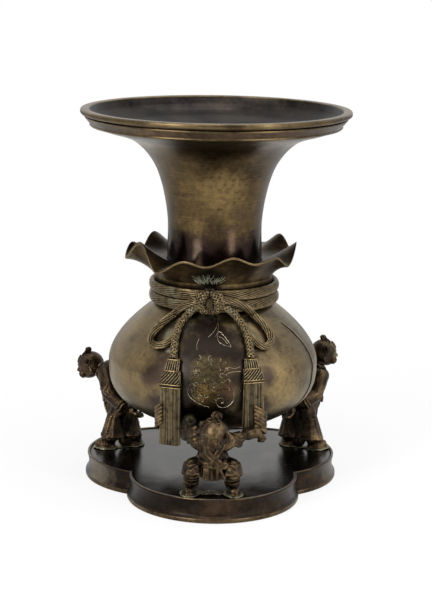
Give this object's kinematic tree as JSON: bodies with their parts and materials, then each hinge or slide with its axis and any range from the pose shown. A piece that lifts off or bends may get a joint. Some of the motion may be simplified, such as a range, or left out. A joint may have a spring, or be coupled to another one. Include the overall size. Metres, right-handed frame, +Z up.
{
  "type": "vase",
  "caption": "Cast bronze vase: a cord-tied sack with tassels and a trumpet neck, carried by three crouching boys on a trefoil base.",
  "frame": {"origin": "on the table plane, under the middle of the whole outline", "axes": "+Z up along the vase's height, -Y towards the front boy and the bow, +X to the viewer's right"},
  "size_m": [0.1738, 0.1862, 0.24],
  "materials": {
    "bronze_base": "dark brown patina, worn at the lip and foot",
    "bronze_plate": "dark grey-brown patina with a soft sheen",
    "bronze_boys": "copper-brown patina with gold high points",
    "bronze_sack": "olive to golden brown patina, brushed",
    "bronze_dark": "dark brown patina, unpolished",
    "bronze_mouth": "dark brown patina, bright worn edge",
    "bronze_neck": "golden brown patina, turned and brushed",
    "bronze_cord": "golden brown high points over dark recesses",
    "bronze_tassel": "golden brown, finely ribbed",
    "bronze_fringe": "grey-green brown, vertical strands",
    "solder": "pale grey-green crust"
  },
  "bodies": {
    "root": {"base_border": "bronze_base", "base_plate": "bronze_plate", "solder_front": "solder", "solder_left": "solder", "solder_right": "solder", "boy_front": "bronze_boys", "boy_left": "bronze_boys", "boy_right": "bronze_boys", "sack_body": "bronze_sack", "sack_bottom": "bronze_dark", "sack_mouth": "bronze_mouth", "trumpet_neck": "bronze_neck", "cord_turn_lower": "bronze_cord", "cord_turn_upper": "bronze_cord", "knot": "bronze_cord", "knot_band": "bronze_cord", "bow_loop_left": "bronze_cord", "bow_loop_right": "bronze_cord", "cord_tail_left": "bronze_cord", "cord_tail_right": "bronze_cord", "tassel_head_left": "bronze_tassel", "tassel_head_right": "bronze_tassel", "tassel_fringe_left": "bronze_fringe", "tassel_fringe_right": "bronze_fringe"}
  },
  "joints": []
}
